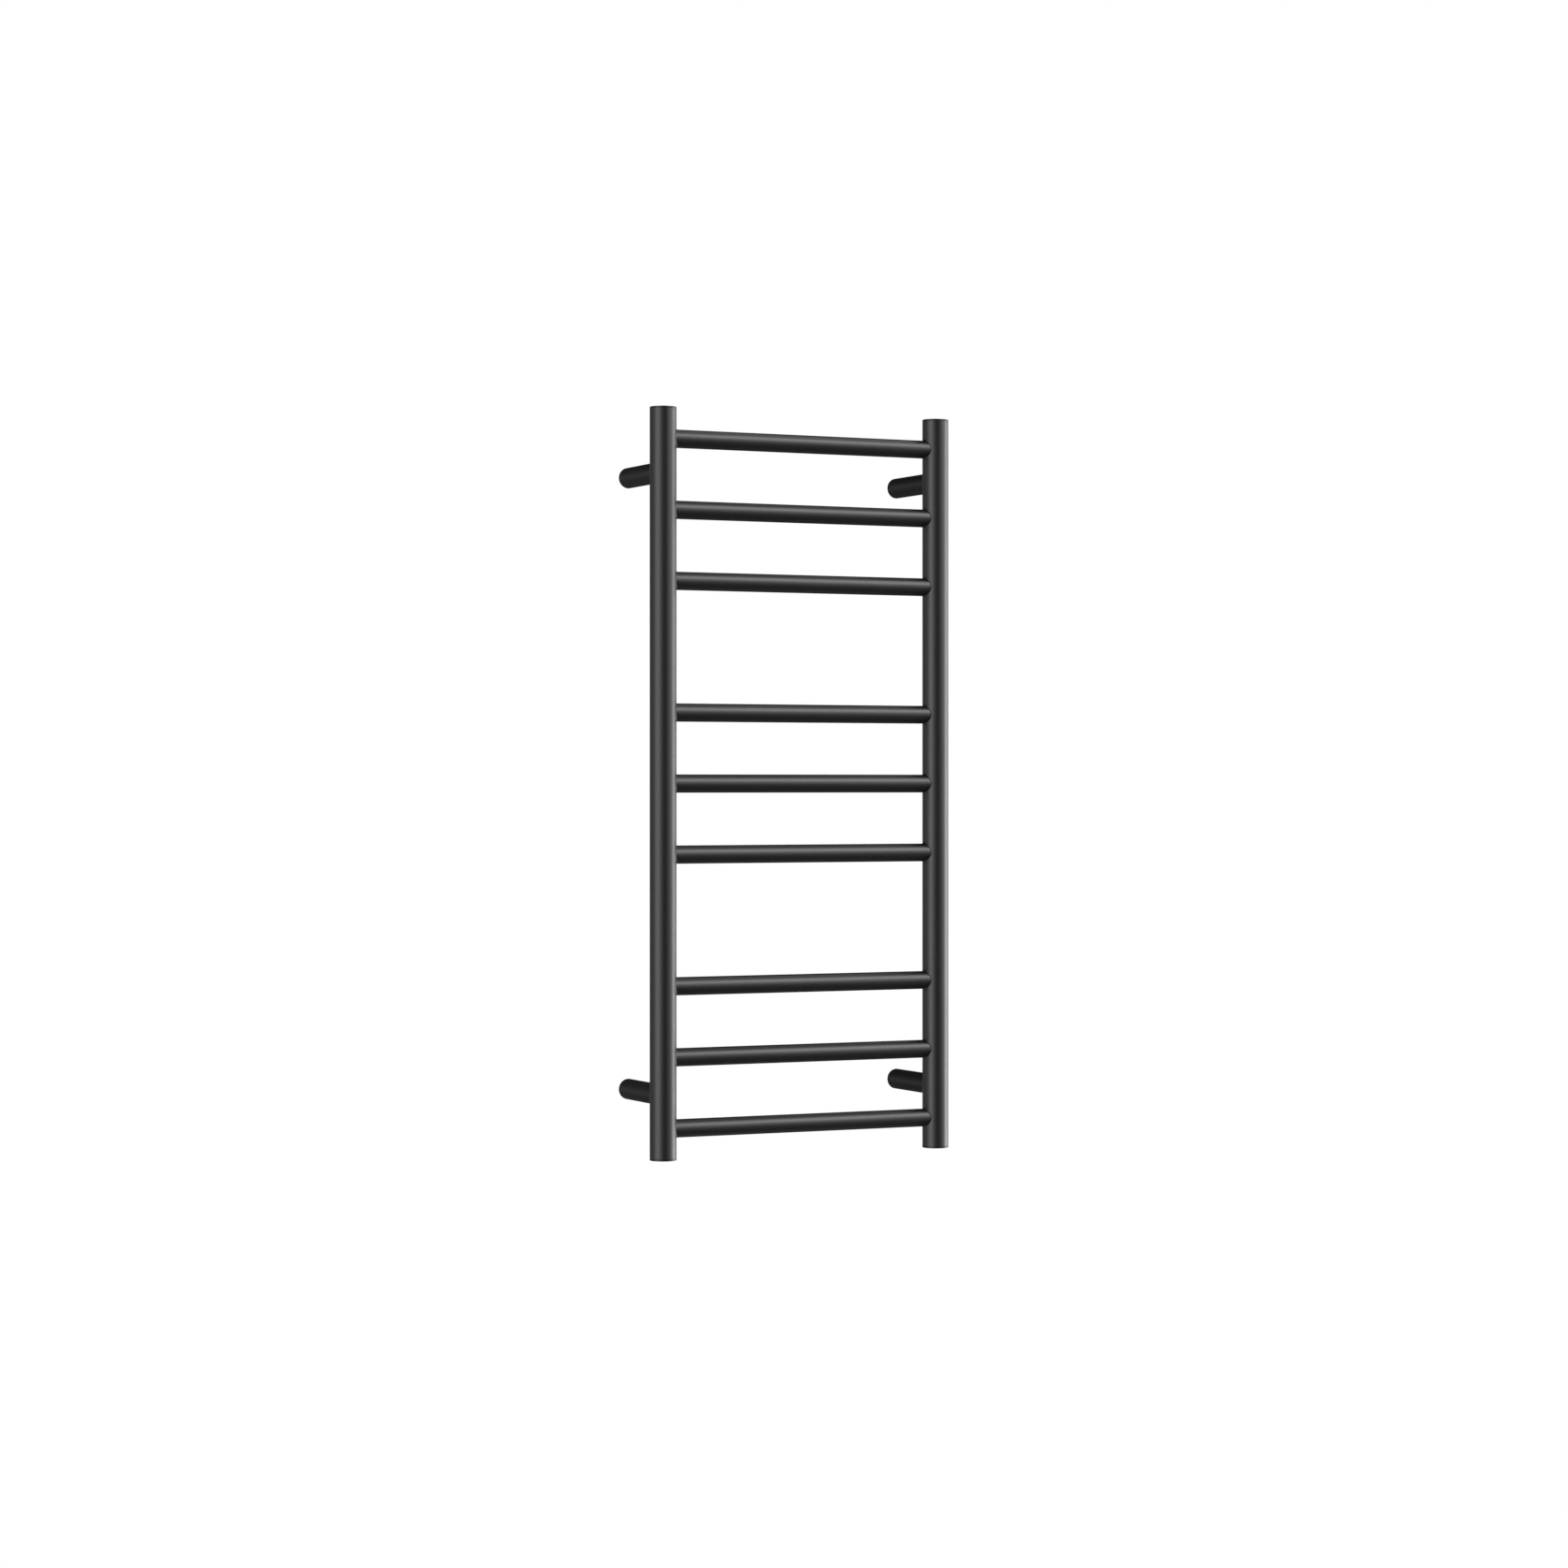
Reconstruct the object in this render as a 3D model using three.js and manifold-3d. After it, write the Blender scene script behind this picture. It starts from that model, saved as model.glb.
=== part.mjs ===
// Electric towel warmer rack: a ladder of two round uprights and nine round rungs, held off the wall by four
// posts that slide over wall bosses, and warmed by one heating cable laid through all of its tubes.
// Millimetres. +Z is up, -Y faces the room and y = 0 is the wall. The origin lies on the wall, midway between
// the four fixing points. "Left" and "right" are as seen from the room.
import * as THREE from "three";
import { mergeVertices } from "three/addons/utils/BufferGeometryUtils.js";
import Module from "manifold-3d";

// Overall sizes
const overallHeight = 900;
const overallWidth = 400;
const overallDepth = 122; // wall to the front of the uprights

// Tubes
const uprightDiameter = 32;
const uprightWall = 1.2;
const rungDiameter = 22;
const rungWall = 1;
const postDiameter = 25;
const postWall = 1.5;

// Rungs
const groupCount = 3;
const rungsPerGroup = 3;
const rungPitch = 85; // between neighbours of one group
const endMargin = 37.5; // axis of the outermost rung to the end of the rail

// End caps of the uprights
const capFlange = 2.1;
const capEdge = 0.6; // rounding of the flange
const capPlug = 8; // depth of the plug, flange included
const capPlugWall = 1.5;

// Wall posts and bosses
const postInset = 40; // axis of a post to the axis of the outermost rung
const postWallGap = 0.5; // end of a post to the wall
const bossLength = 20;
const bossChamfer = 0.6;
const wallScrewHole = 5;
const wallScrewHead = 9.2;
const grubFromWall = 10;
const grubDiameter = 4.6;
const grubLength = 4;
const grubSunk = 0.2; // below the surface of the post
const grubCone = 1;
const grubSocket = 2.5; // across flats
const grubSocketDepth = 2;

// Cable outlet in the wired boss
const glandBore = 7;
const glandWall = 0.8;
const glandFlange = 0.9; // how far the flange stands out
const glandFlangeLength = 1.2;
const wiredScrewHole = 3;

// Wiring inside the wired post
const blockClearance = 1.4; // corners of the block to the bore of the post
const blockHeight = 12;
const blockLength = 14;
const blockFromBoss = 4;
const blockSide = 0.6; // wall outside the first and last pole
const poleCount = 3;
const leadDiameter = 1.8;
const terminalScrewDiameter = 2.4;
const terminalScrewSpacing = 7.6; // between the two screws of a pole
const terminalScrewSunk = 0.5;
const terminalSlot = 0.6;
const fuseDiameter = 4;
const fuseLength = 11;
const fuseEdge = 0.8;
const fuseFromBlock = 6;
const fuseClearance = 1.7; // to the neutral lead beside it
const sleeveWall = 1;
const sleeveLength = 24;
const sleeveToUpright = 4;
const sleeveOverlap = 8; // how far the leads and the cable reach in
const tabWidth = 6;
const tabLength = 10;
const tabThickness = 0.8;
const wireHole = 10; // in the upright, behind the wired post

// Heating cable
const cableDiameter = 4;
const cableTail = 4; // straight length between its last bend and the end seal
const sealWall = 0.7;
const sealLength = 18;
const sealFloor = 2;

const gap = 0.3; // between pieces that touch
const through = 1; // how far a cutting body runs past what it cuts

const tubeSides = 32; // of uprights, posts, caps and bosses
const smallSides = 24; // of rungs, holes and small turned pieces
const wireSides = 8; // of wires and terminal screws
const bendSteps = 4; // of each bend in a wire

// Derived sizes and places
const uprightRadius = uprightDiameter / 2;
const uprightBore = uprightRadius - uprightWall;
const rungRadius = rungDiameter / 2;
const postRadius = postDiameter / 2;
const postBore = postRadius - postWall;
const bossRadius = postBore - gap;
const cableRadius = cableDiameter / 2;
const leadRadius = leadDiameter / 2;
const uprightX = overallWidth / 2 - uprightRadius;
const uprightY = uprightRadius - overallDepth;
const outerRungZ = overallHeight / 2 - endMargin;
const postZ = outerRungZ - postInset;
const rungEnd = uprightX - Math.sqrt((uprightBore - gap) ** 2 - rungRadius ** 2);
const cableBend = uprightX - rungEnd - gap; // a bend fits between the end of a rung and the upright's axis
const groupShift = (2 * outerRungZ - (rungsPerGroup - 1) * rungPitch) / (groupCount - 1);

const rungHeights = [];
for (let group = 0; group < groupCount; group++)
  for (let rung = 0; rung < rungsPerGroup; rung++)
    rungHeights.push(group * groupShift + rung * rungPitch - outerRungZ);

// Looks
const coat = { color: 0x1c1c1d, roughness: 0.4, metalness: 0 };
const aluminium = { color: 0xb9bcc0, roughness: 0.4, metalness: 1 };
const steel = { color: 0x8d9094, roughness: 0.35, metalness: 1 };
const brass = { color: 0xb59a56, roughness: 0.35, metalness: 1 };
const silicone = { color: 0x2a2a2b, roughness: 0.7, metalness: 0 };
const redSilicone = { color: 0x7b241c, roughness: 0.65, metalness: 0 };
const nylon = { color: 0xdedbd2, roughness: 0.55, metalness: 0 };
const brownLead = { color: 0x5a3420, roughness: 0.5, metalness: 0 };
const blueLead = { color: 0x1f4f9c, roughness: 0.5, metalness: 0 };
const earthLead = { color: 0x6f9a2b, roughness: 0.5, metalness: 0 };

// Geometry helpers. Closed bodies are cut as solids.

const wasm = await Module();
wasm.setup();

// A closed three.js geometry as a solid that can be joined and cut.
function solidOf(geometry) {
  const bare = geometry.clone();
  bare.deleteAttribute("normal");
  bare.deleteAttribute("uv");
  const merged = mergeVertices(bare);
  const vertProperties = merged.attributes.position.array;
  const triVerts = new Uint32Array(merged.index.array);
  return new wasm.Manifold(new wasm.Mesh({ numProp: 3, vertProperties, triVerts }));
}

function geometryOf(solid) {
  const { vertProperties, triVerts } = solid.getMesh();
  const geometry = new THREE.BufferGeometry();
  geometry.setAttribute("position", new THREE.BufferAttribute(vertProperties, 3));
  geometry.setIndex(new THREE.BufferAttribute(triVerts, 1));
  geometry.computeVertexNormals();
  return geometry;
}

function cut(body, tools) {
  const solid = tools.reduce((left, tool) => left.subtract(solidOf(tool)), solidOf(body));
  return geometryOf(solid);
}

// A body turned about Z. Its outline is a list of [radius, height] that runs up the outside.
function turned(outline, sides) {
  const points = outline.map(([radius, height]) => new THREE.Vector2(radius, height));
  return new THREE.LatheGeometry(points, sides).rotateX(Math.PI / 2);
}

// An open tube about Z, from one height to another.
function tube(outer, inner, bottom, top, sides) {
  const outline = [[inner, bottom], [outer, bottom], [outer, top], [inner, top], [inner, bottom]];
  return turned(outline, sides);
}

// A rod about Z, from one height to another.
function rod(radius, bottom, top, sides) {
  const height = top - bottom;
  return new THREE.CylinderGeometry(radius, radius, height, sides)
    .rotateX(Math.PI / 2)
    .translate(0, 0, bottom + height / 2);
}

// Turns a body made about Z so that its +Z points along +Y, or along +X.
const alongY = (geometry) => geometry.rotateX(-Math.PI / 2);
const alongX = (geometry) => geometry.rotateY(Math.PI / 2);

const straight = 0.9999; // cosine of the least angle that counts as a bend

// A route through corner points, with each corner turned on an arc. It has a stop at both ends of every
// straight run and a few on each arc, and a body swept along it has one step between stops.
class Route extends THREE.Curve {
  constructor(corners, bendRadius) {
    super();
    this.stops = [];
    const last = corners.length - 1;
    for (let i = 0; i <= last; i++) {
      const into = corners[i].clone().sub(corners[Math.max(i - 1, 0)]).normalize();
      const out = corners[Math.min(i + 1, last)].clone().sub(corners[i]).normalize();
      if (i > 0 && i < last && into.dot(out) < straight) this.turn(corners[i], into, out, bendRadius);
      else this.stops.push({ point: corners[i], tangent: i === 0 ? out : into });
    }
  }

  turn(corner, into, out, radius) {
    const angle = into.angleTo(out);
    const start = corner.clone().addScaledVector(into, -radius * Math.tan(angle / 2));
    const inward = out.clone().addScaledVector(into, -into.dot(out)).normalize();
    for (let step = 0; step <= bendSteps; step++) {
      const turnedBy = (angle * step) / bendSteps;
      const point = start.clone()
        .addScaledVector(into, radius * Math.sin(turnedBy))
        .addScaledVector(inward, radius * (1 - Math.cos(turnedBy)));
      const tangent = into.clone()
        .multiplyScalar(Math.cos(turnedBy))
        .addScaledVector(inward, Math.sin(turnedBy));
      this.stops.push({ point, tangent });
    }
  }

  stop(t) {
    return this.stops[Math.round(t * (this.stops.length - 1))];
  }

  getPoint(t) {
    return this.stop(t).point.clone();
  }

  getPointAt(t) {
    return this.getPoint(t);
  }

  getTangentAt(t) {
    return this.stop(t).tangent.clone();
  }
}

// A round wire laid along a route.
function wire(corners, radius, bendRadius) {
  const route = new Route(corners.map((corner) => new THREE.Vector3(...corner)), bendRadius);
  const section = new THREE.Shape(new THREE.EllipseCurve(0, 0, radius, radius).getPoints(wireSides));
  const steps = route.stops.length - 1;
  return new THREE.ExtrudeGeometry(section, { steps, bevelEnabled: false, extrudePath: route });
}

const rack = new THREE.Group();

function add(name, geometry, look, place = [0, 0, 0]) {
  const mesh = new THREE.Mesh(geometry, new THREE.MeshStandardMaterial(look));
  mesh.name = name;
  mesh.position.set(...place);
  rack.add(mesh);
  return mesh;
}

const sides = [{ name: "left", sign: -1 }, { name: "right", sign: 1 }];
const rows = [{ name: "upper", sign: 1 }, { name: "lower", sign: -1 }];
const isWired = (side, row) => side.name === "right" && row.name === "lower";

// Uprights: tubes with one punched hole for each rung. The right one also has a wire hole at the wired post.

const tubeTop = overallHeight / 2 - capFlange - gap;

for (const side of sides) {
  const reach = uprightRadius + through;
  const holes = rungHeights.map((height) => {
    const hole = alongX(rod(rungRadius + gap, 0, reach, smallSides));
    return hole.rotateZ(side.sign > 0 ? Math.PI : 0).translate(0, 0, height);
  });
  if (side.sign > 0)
    holes.push(alongY(rod(wireHole / 2, 0, reach, smallSides)).translate(0, 0, -postZ));
  const body = tube(uprightRadius, uprightBore, -tubeTop, tubeTop, tubeSides);
  add(`${side.name}_upright`, cut(body, holes), coat, [side.sign * uprightX, uprightY, 0]);
}

// Rungs, counted from the bottom: tubes that end inside the uprights.

rungHeights.forEach((height, i) => {
  const body = alongX(tube(rungRadius, rungRadius - rungWall, -rungEnd, rungEnd, smallSides));
  add(`rung_${i + 1}`, body, coat, [0, uprightY, height]);
});

// End caps: a flange with a rounded edge and a hollow plug that fills the bore.

function capOutline() {
  const plugRadius = uprightBore - gap;
  const outline = [
    [0, -capFlange],
    [plugRadius - capPlugWall, -capFlange],
    [plugRadius - capPlugWall, -capPlug],
    [plugRadius, -capPlug],
    [plugRadius, -capFlange],
    [uprightRadius, -capFlange],
  ];
  for (let step = 0; step <= 2; step++) {
    const angle = (step / 2) * (Math.PI / 2);
    const radius = uprightRadius - capEdge * (1 - Math.cos(angle));
    outline.push([radius, capEdge * (Math.sin(angle) - 1)]);
  }
  outline.push([0, 0]);
  return outline;
}

for (const side of sides)
  for (const row of rows) {
    const place = [side.sign * uprightX, uprightY, (row.sign * overallHeight) / 2];
    const cap = add(`${side.name}_${row.name}_end_cap`, turned(capOutline(), tubeSides), coat, place);
    if (row.sign < 0) cap.rotation.x = Math.PI;
  }

// Wall posts: tubes whose front end is shaped to the upright and whose back end slides over the boss.

const grubHole = grubDiameter / 2 + gap;

for (const side of sides)
  for (const row of rows) {
    const body = alongY(tube(postRadius, postBore, uprightY, -postWallGap, tubeSides));
    const saddle = rod(uprightRadius + gap, -postRadius - through, postRadius + through, tubeSides);
    const screwHole = rod(grubHole, -postRadius - through, through - postBore, smallSides);
    const cuts = [saddle.translate(0, uprightY, 0), screwHole.translate(0, -grubFromWall, 0)];
    const place = [side.sign * uprightX, 0, row.sign * postZ];
    add(`${side.name}_${row.name}_post`, cut(body, cuts), coat, place);
  }

// Wall bosses: aluminium plugs screwed to the wall. Three have a countersunk hole, and the wired one has the
// cable outlet and two small screw holes. A pocket on the underside takes the tip of the grub screw.

const grubTip = postRadius - grubSunk - grubLength;
const glandRadius = glandBore / 2 + glandWall;
const glandHole = glandRadius + gap;
const wiredScrewX = (glandHole + bossRadius) / 2;

function bossOutline(hole, mouth) {
  return [
    [hole, -bossLength + (mouth - hole)],
    [mouth, -bossLength],
    [bossRadius - bossChamfer, -bossLength],
    [bossRadius, -bossLength + bossChamfer],
    [bossRadius, 0],
    [hole, 0],
    [hole, -bossLength + (mouth - hole)],
  ];
}

for (const side of sides)
  for (const row of rows) {
    const wired = isWired(side, row);
    const hole = wired ? glandHole : wallScrewHole / 2;
    const mouth = wired ? glandHole + gap : wallScrewHead / 2;
    const body = alongY(turned(bossOutline(hole, mouth), tubeSides));
    const pocket = rod(grubHole, -bossRadius - through, gap - grubTip, smallSides);
    const cuts = [pocket.translate(0, -grubFromWall, 0)];
    if (wired) {
      const flangeSeat = rod(glandHole + glandFlange, -glandFlangeLength - gap, through, smallSides);
      cuts.push(alongY(flangeSeat));
      for (const end of [-1, 1]) {
        const screwHole = alongY(rod(wiredScrewHole / 2, -bossLength - through, through, smallSides));
        cuts.push(screwHole.translate(end * wiredScrewX, 0, 0));
      }
    }
    const place = [side.sign * uprightX, 0, row.sign * postZ];
    add(`${side.name}_${row.name}_boss`, cut(body, cuts), aluminium, place);
  }

// Grub screws: they go up through the underside of each post and lock it on its boss.

function grubScrew() {
  const radius = grubDiameter / 2;
  const outline = [
    [0, 0],
    [radius, 0],
    [radius, grubLength - grubCone],
    [radius - grubCone, grubLength],
    [0, grubLength],
  ];
  const socketRadius = grubSocket / 2 / Math.cos(Math.PI / 6);
  return cut(turned(outline, smallSides), [rod(socketRadius, -through, grubSocketDepth, 6)]);
}

for (const side of sides)
  for (const row of rows) {
    const place = [side.sign * uprightX, -grubFromWall, row.sign * postZ - postRadius + grubSunk];
    add(`${side.name}_${row.name}_grub_screw`, grubScrew(), steel, place);
  }

// The wired post's contents lie along its axis, which runs from the wall towards the room.

const wiredPlace = [uprightX, 0, -postZ];
const glandOutline = [
  [glandBore / 2, -bossLength],
  [glandRadius, -bossLength],
  [glandRadius, -glandFlangeLength],
  [glandRadius + glandFlange, -glandFlangeLength],
  [glandRadius + glandFlange, -gap],
  [glandBore / 2, -gap],
  [glandBore / 2, -bossLength],
];
add("cable_gland", alongY(turned(glandOutline, smallSides)), silicone, wiredPlace);

// Terminal block: three poles, each with a wire hole and a screw for either side.

const blockY = -bossLength - blockFromBoss - blockLength / 2;
const blockFront = blockY - blockLength / 2;
const blockWidth = 2 * Math.sqrt((postBore - blockClearance) ** 2 - (blockHeight / 2) ** 2);
const polePitch = (blockWidth - 2 * blockSide) / poleCount;
const poles = Array.from({ length: poleCount }, (_, i) => (i - (poleCount - 1) / 2) * polePitch);
const screwBottom = leadRadius + gap;
const screwTop = blockHeight / 2 - terminalScrewSunk;
const blockCuts = [];
for (const x of poles) {
  const halfLength = blockLength / 2 + through;
  blockCuts.push(alongY(rod(leadRadius + gap, -halfLength, halfLength, wireSides)).translate(x, blockY, 0));
  for (const end of [-1, 1]) {
    const shaft = rod(terminalScrewDiameter / 2 + gap, 0, blockHeight / 2 + through, wireSides);
    blockCuts.push(shaft.translate(x, blockY + (end * terminalScrewSpacing) / 2, 0));
  }
}
const blockBody = new THREE.BoxGeometry(blockWidth, blockLength, blockHeight).translate(0, blockY, 0);
add("terminal_block", cut(blockBody, blockCuts), nylon, wiredPlace);

poles.forEach((x, pole) => {
  for (const end of [-1, 1]) {
    const shank = rod(terminalScrewDiameter / 2, screwBottom, screwTop, wireSides);
    const slot = new THREE.BoxGeometry(terminalScrewDiameter + through, terminalSlot, terminalSlot);
    const place = [uprightX + x, blockY + (end * terminalScrewSpacing) / 2, -postZ];
    const name = `terminal_screw_${pole * 2 + (end < 0 ? 1 : 2)}`;
    add(name, cut(shank, [slot.translate(0, 0, screwTop)]), brass, place);
  }
});

// Thermal fuse in the live lead, then the sleeve where the leads meet the heating cable.

const [liveX, neutralX, earthX] = poles;
const leadStart = blockY - terminalScrewSpacing / 2 + terminalScrewDiameter;
const fuseBack = blockFront - fuseFromBlock;
const fuseFront = fuseBack - fuseLength;
const fuseRadius = fuseDiameter / 2;
const fuseX = neutralX - leadRadius - fuseClearance - fuseRadius;
const fuseOutline = [
  [0, fuseFront],
  [fuseRadius - fuseEdge, fuseFront],
  [fuseRadius, fuseFront + fuseEdge],
  [fuseRadius, fuseBack - fuseEdge],
  [fuseRadius - fuseEdge, fuseBack],
  [0, fuseBack],
];
const fuse = alongY(turned(fuseOutline, smallSides)).translate(fuseX, 0, 0);
add("thermal_fuse", fuse, nylon, wiredPlace);

const sleeveFront = uprightY + uprightRadius + sleeveToUpright;
const sleeveBack = sleeveFront + sleeveLength;
const sleeveBore = cableRadius + gap;
const sleeve = alongY(tube(sleeveBore + sleeveWall, sleeveBore, sleeveFront, sleeveBack, smallSides));
add("splice_sleeve", sleeve, redSilicone, wiredPlace);

// Leads: brown and blue to the sleeve, and green and yellow to a tab on the inside of the post.

const leadBend = 2 * leadDiameter;
const pairX = sleeveBore - gap - leadRadius;
const leadEnd = sleeveBack - sleeveOverlap;
const sleeveMouth = sleeveBack + leadDiameter;
const fuseExit = fuseFront - leadDiameter;

const liveRoute = [
  [liveX, leadStart, 0],
  [liveX, blockFront - leadDiameter, 0],
  [fuseX, fuseBack + leadDiameter, 0],
  [fuseX, fuseBack + gap, 0],
];
add("live_lead", wire(liveRoute, leadRadius, leadRadius), brownLead, wiredPlace);
const fuseRoute = [
  [fuseX, fuseFront - gap, 0],
  [fuseX, fuseExit, 0],
  [-pairX, sleeveMouth, 0],
  [-pairX, leadEnd, 0],
];
add("fuse_lead", wire(fuseRoute, leadRadius, leadRadius), brownLead, wiredPlace);
const neutralRoute = [
  [neutralX, leadStart, 0],
  [neutralX, fuseExit, 0],
  [pairX, sleeveMouth, 0],
  [pairX, leadEnd, 0],
];
add("neutral_lead", wire(neutralRoute, leadRadius, leadRadius), blueLead, wiredPlace);

const tabTop = Math.sqrt(postBore ** 2 - (tabWidth / 2) ** 2) - gap;
const tabBack = fuseBack - tabLength / 2;
const tab = new THREE.BoxGeometry(tabWidth, tabLength, tabThickness);
add("earth_tab", tab.translate(0, tabBack - tabLength / 2, tabTop - tabThickness / 2), brass, wiredPlace);

const earthZ = tabTop - tabThickness - gap - leadRadius;
const earthRise = blockFront - leadBend;
const earthRoute = [
  [earthX, leadStart, 0],
  [earthX, earthRise, 0],
  [0, tabBack + leadDiameter, earthZ],
  [0, tabBack - tabLength / 2, earthZ],
];
add("earth_lead", wire(earthRoute, leadRadius, leadBend / 2), earthLead, wiredPlace);

// Heating cable: from the sleeve down the right upright to the lowest rung, then back and forth through every
// rung, where it lies on the bottom of the tube, and out of the top rung into the left upright.

const cableDrop = rungRadius - rungWall - gap - cableRadius;
const cableCorners = [[uprightX, sleeveFront + sleeveOverlap, -postZ], [uprightX, uprightY, -postZ]];
rungHeights.forEach((height, i) => {
  const from = i % 2 === 0 ? uprightX : -uprightX;
  cableCorners.push([from, uprightY, height - cableDrop]);
  cableCorners.push([-from, uprightY, height - cableDrop]);
});
const topTurnX = cableCorners[cableCorners.length - 1][0];
const sealReach = sealLength - sealFloor - gap;
const cableEndZ = outerRungZ - cableDrop - cableBend - cableTail - sealReach;
cableCorners.push([topTurnX, uprightY, cableEndZ]);
add("heating_cable", wire(cableCorners, cableRadius, cableBend), silicone);

// End seal: a blind cap over the far end of the cable.

const sealBore = cableRadius + gap;
const sealBottom = cableEndZ - gap - sealFloor;
const sealOutline = [
  [0, sealBottom],
  [sealBore + sealWall, sealBottom],
  [sealBore + sealWall, sealBottom + sealLength],
  [sealBore, sealBottom + sealLength],
  [sealBore, sealBottom + sealFloor],
  [0, sealBottom + sealFloor],
];
add("end_seal", turned(sealOutline, smallSides), redSilicone, [topTurnX, uprightY, 0]);

export default rack;
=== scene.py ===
import math

import bmesh
import bpy
from mathutils import Matrix, Vector


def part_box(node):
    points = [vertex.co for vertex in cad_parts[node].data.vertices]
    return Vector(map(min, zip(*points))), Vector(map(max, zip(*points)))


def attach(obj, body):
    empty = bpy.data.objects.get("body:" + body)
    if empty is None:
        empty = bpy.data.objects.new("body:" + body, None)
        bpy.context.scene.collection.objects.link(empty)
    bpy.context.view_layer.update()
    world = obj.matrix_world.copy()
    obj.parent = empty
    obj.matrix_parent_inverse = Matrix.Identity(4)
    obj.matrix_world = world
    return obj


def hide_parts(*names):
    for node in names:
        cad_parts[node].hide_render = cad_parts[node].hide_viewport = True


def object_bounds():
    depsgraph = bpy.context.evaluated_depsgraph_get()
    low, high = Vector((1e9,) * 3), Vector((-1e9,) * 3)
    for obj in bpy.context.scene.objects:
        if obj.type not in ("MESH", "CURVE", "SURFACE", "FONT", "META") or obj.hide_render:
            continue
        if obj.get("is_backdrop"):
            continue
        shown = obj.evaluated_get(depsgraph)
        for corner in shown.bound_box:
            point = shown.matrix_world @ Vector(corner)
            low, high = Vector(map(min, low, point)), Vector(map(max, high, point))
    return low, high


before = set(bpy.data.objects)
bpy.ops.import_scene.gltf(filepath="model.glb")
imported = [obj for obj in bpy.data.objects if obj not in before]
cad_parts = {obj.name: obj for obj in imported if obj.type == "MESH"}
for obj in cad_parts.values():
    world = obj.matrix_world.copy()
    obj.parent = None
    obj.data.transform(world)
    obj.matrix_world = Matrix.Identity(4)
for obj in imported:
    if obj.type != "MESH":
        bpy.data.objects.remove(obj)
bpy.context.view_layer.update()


# Uprights: two lengths of 32 mm mild steel tube with a 1.2 mm wall. A hole is punched in each for every rung,
# and one in the right upright lets the wires in from the wired post. After welding, the whole ladder is
# sprayed with satin black powder and baked, which leaves a faint orange peel.

MM = 0.001
UPRIGHT_WALL = 1.2 * MM
UPRIGHT_REACH = 0.2 * MM  # each end runs on to leave only a fine seam at its cap
CUT_EDGE = 0.2 * MM  # saw burr taken off the end of a tube
PUNCH_CLEARANCE = 0.15 * MM
WIRE_HOLE = 5 * MM  # radius
RUNGS = 9
FACETS = 96  # round a large tube
WELD_POINTS = 0.002 * MM  # points closer than this are one
SHARP = math.radians(32)
ALONG_X = Matrix.Rotation(math.radians(90), 4, "Y")
ALONG_Y = Matrix.Rotation(math.radians(-90), 4, "X")


def moved(mesh, turn, place=(0, 0, 0)):
    """The mesh, turned and then moved to its place."""
    mesh.transform(Matrix.Translation(place) @ turn)
    return mesh


def shifted(mesh, place):
    """The mesh, moved but not turned."""
    return moved(mesh, Matrix.Identity(4), place)


def mesh_of(points, faces):
    """A closed mesh of those points and faces."""
    mesh = bpy.data.meshes.new("shape")
    mesh.from_pydata(points, [], faces)
    shape = bmesh.new()
    shape.from_mesh(mesh)
    bmesh.ops.remove_doubles(shape, verts=shape.verts, dist=WELD_POINTS)
    bmesh.ops.recalc_face_normals(shape, faces=shape.faces)
    shape.to_mesh(mesh)
    shape.free()
    return mesh


def rings(rows, closed):
    """A mesh through rows of points: each row is a loop, and the last row joins the first if closed."""
    count = len(rows[0])
    points = [point for row in rows for point in row]
    faces = []
    for row in range(len(rows) - (0 if closed else 1)):
        this, other = row * count, (row + 1) % len(rows) * count
        for step in range(count):
            after = (step + 1) % count
            faces.append((this + step, this + after, other + after, other + step))
    return mesh_of(points, faces)


def circle(radius, height, facets):
    """A loop of points about Z."""
    turns = [2 * math.pi * step / facets for step in range(facets)]
    return [(radius * math.cos(turn), radius * math.sin(turn), height) for turn in turns]


def turned(outline, facets=FACETS):
    """A body turned about Z. Its outline of (radius, height) joins up, or starts and ends on the axis."""
    rows = [circle(radius, height, facets) for radius, height in outline]
    return rings(rows, closed=outline[0][0] > 0)


def rod(radius, bottom, top, facets=FACETS):
    """A plain round bar about Z, used to cut holes."""
    return turned([(0, bottom), (radius, bottom), (radius, top), (0, top)], facets)


def tube(outer, wall, bottom, top, edge=CUT_EDGE):
    """A length of tube about Z, with the burr taken off its ends."""
    inner = outer - wall
    return turned([
        (inner, bottom), (outer - edge, bottom), (outer, bottom + edge),
        (outer, top - edge), (outer - edge, top), (inner, top),
    ])


def changed(mesh, kind, **settings):
    """The mesh after one modifier of that kind."""
    holder = bpy.data.objects.new("holder", mesh)
    bpy.context.scene.collection.objects.link(holder)
    modifier = holder.modifiers.new("change", kind)
    for name, value in settings.items():
        setattr(modifier, name, value)
    result = holder.evaluated_get(bpy.context.evaluated_depsgraph_get())
    finished = bpy.data.meshes.new_from_object(result)
    bpy.data.objects.remove(holder)
    return finished


def joined(*meshes):
    """One mesh of several that stay apart."""
    several = bmesh.new()
    for mesh in meshes:
        several.from_mesh(mesh)
    result = bpy.data.meshes.new("joined")
    several.to_mesh(result)
    several.free()
    return result


def cut(body, *tools):
    """The body with holes cut by the tools, which stay clear of each other."""
    cutter = bpy.data.objects.new("cutter", joined(*tools))
    bpy.context.scene.collection.objects.link(cutter)
    finished = changed(body, "BOOLEAN", operation="DIFFERENCE", solver="MANIFOLD", object=cutter)
    bpy.data.objects.remove(cutter)
    return finished


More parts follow.
